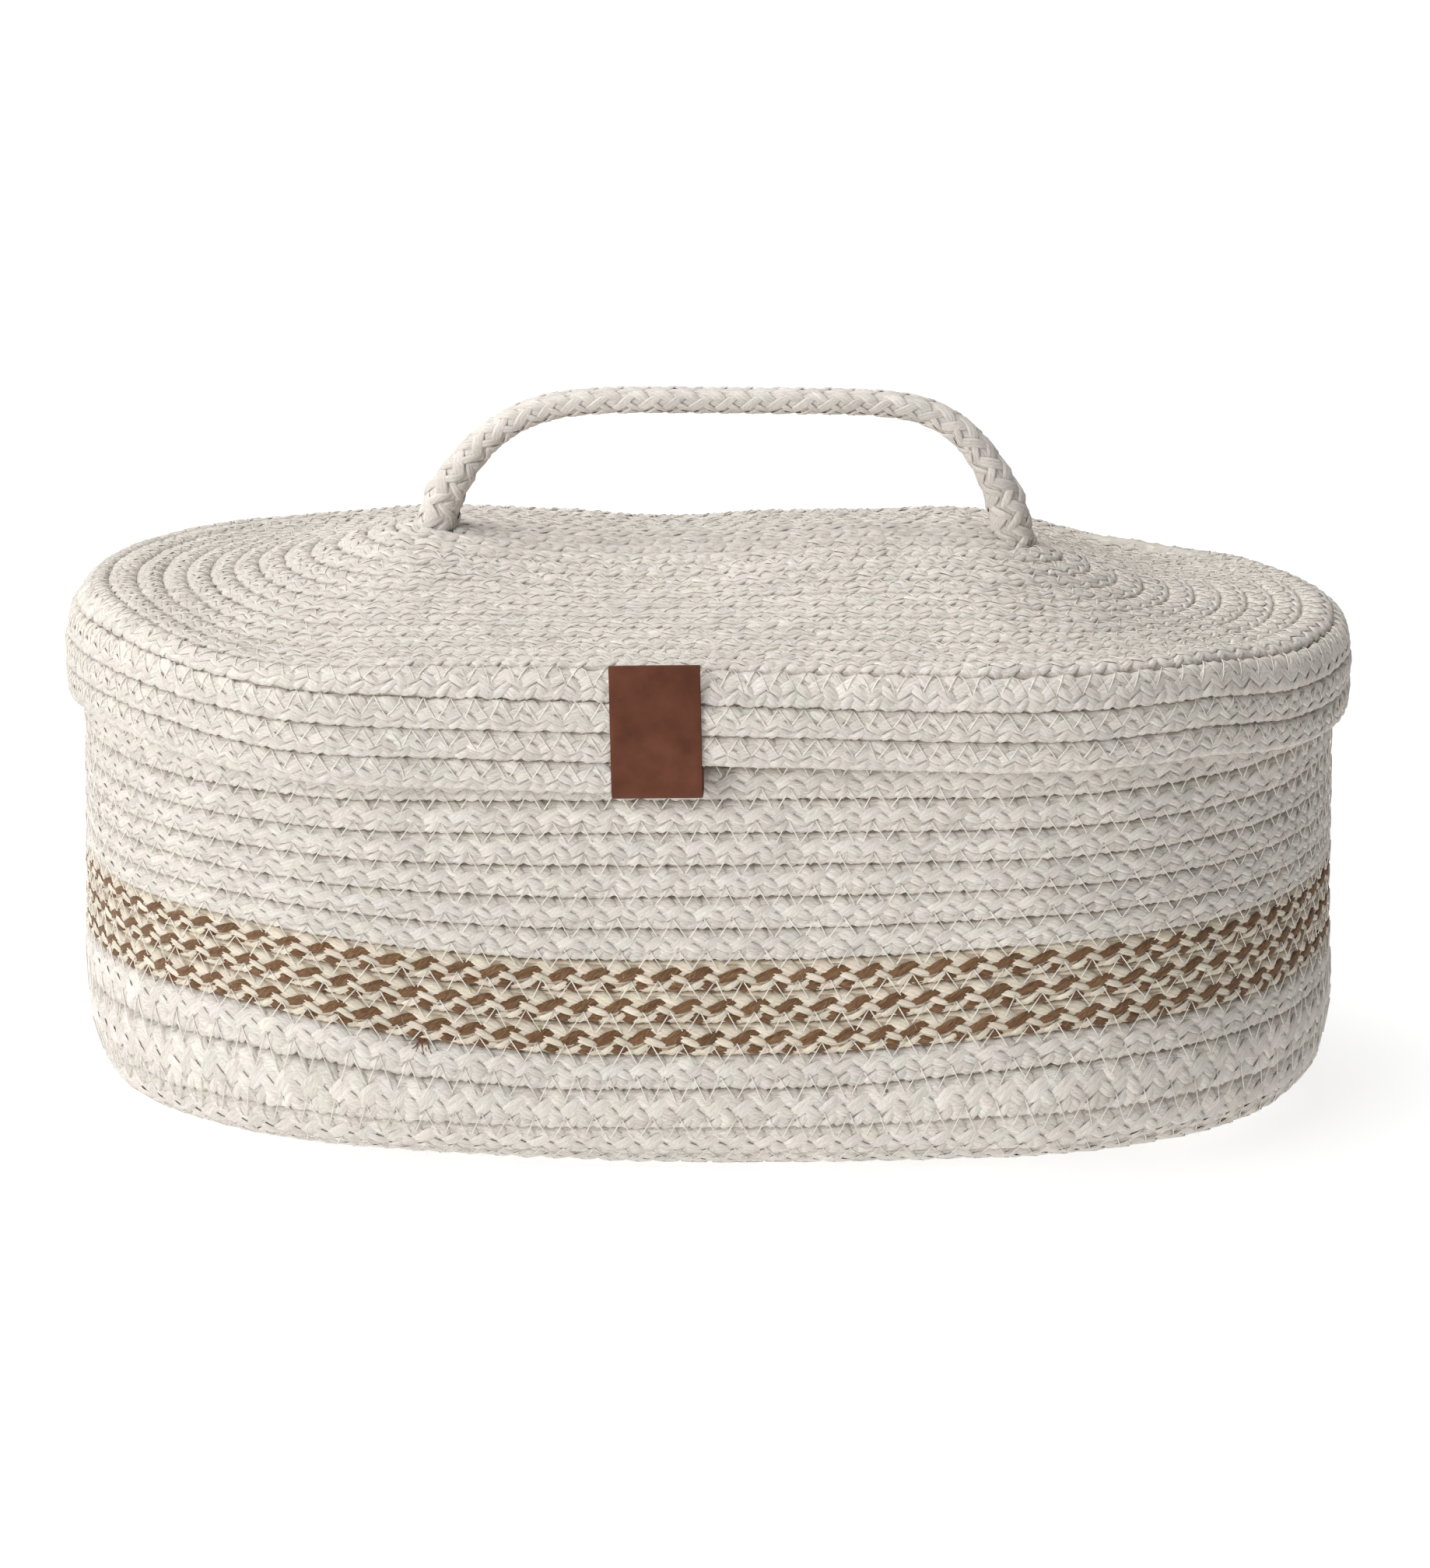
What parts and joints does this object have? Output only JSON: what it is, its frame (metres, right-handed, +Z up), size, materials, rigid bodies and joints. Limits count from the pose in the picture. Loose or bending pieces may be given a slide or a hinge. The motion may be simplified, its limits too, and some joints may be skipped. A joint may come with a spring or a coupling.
{
  "type": "knitting basket",
  "caption": "Oval basket of coiled braided cotton rope with a fleck stripe, a lift-off lid that overlaps the rim, a rope arch handle and a bare leather tag.",
  "frame": {"origin": "middle of the base, on the surface it stands on", "axes": "+Z up, +X along the basket, the tag at the front towards -Y"},
  "size_m": [0.3238, 0.1957, 0.1764],
  "materials": {
    "cream_rope": "braided undyed cotton, matt",
    "fleck_rope": "braided cotton in brown and cream, matt",
    "lid_cotton": "braided undyed cotton, matt",
    "handle_cotton": "braided undyed cotton, matt",
    "tag_leather": "smooth brown leather, soft sheen"
  },
  "bodies": {
    "basket": {"base_rope": "cream_rope", "band_rope": "fleck_rope", "wall_rope": "cream_rope"},
    "lid": {"lid_rope": "lid_cotton", "leather_tag": "tag_leather", "left_handle_end": "handle_cotton", "right_handle_end": "handle_cotton"},
    "handle": {"handle_rope": "handle_cotton"}
  },
  "joints": [
    {"name": "lid_lift", "type": "slide", "parent": "basket", "child": "lid", "axis": [0, 0, 1], "range_m": [0, 0.06]},
    {"name": "handle_tilt", "type": "hinge", "parent": "lid", "child": "handle", "pos_m": [0.00428, 0, 0.1489], "axis": [1, 0, 0], "range_deg": [-80, 80]}
  ]
}
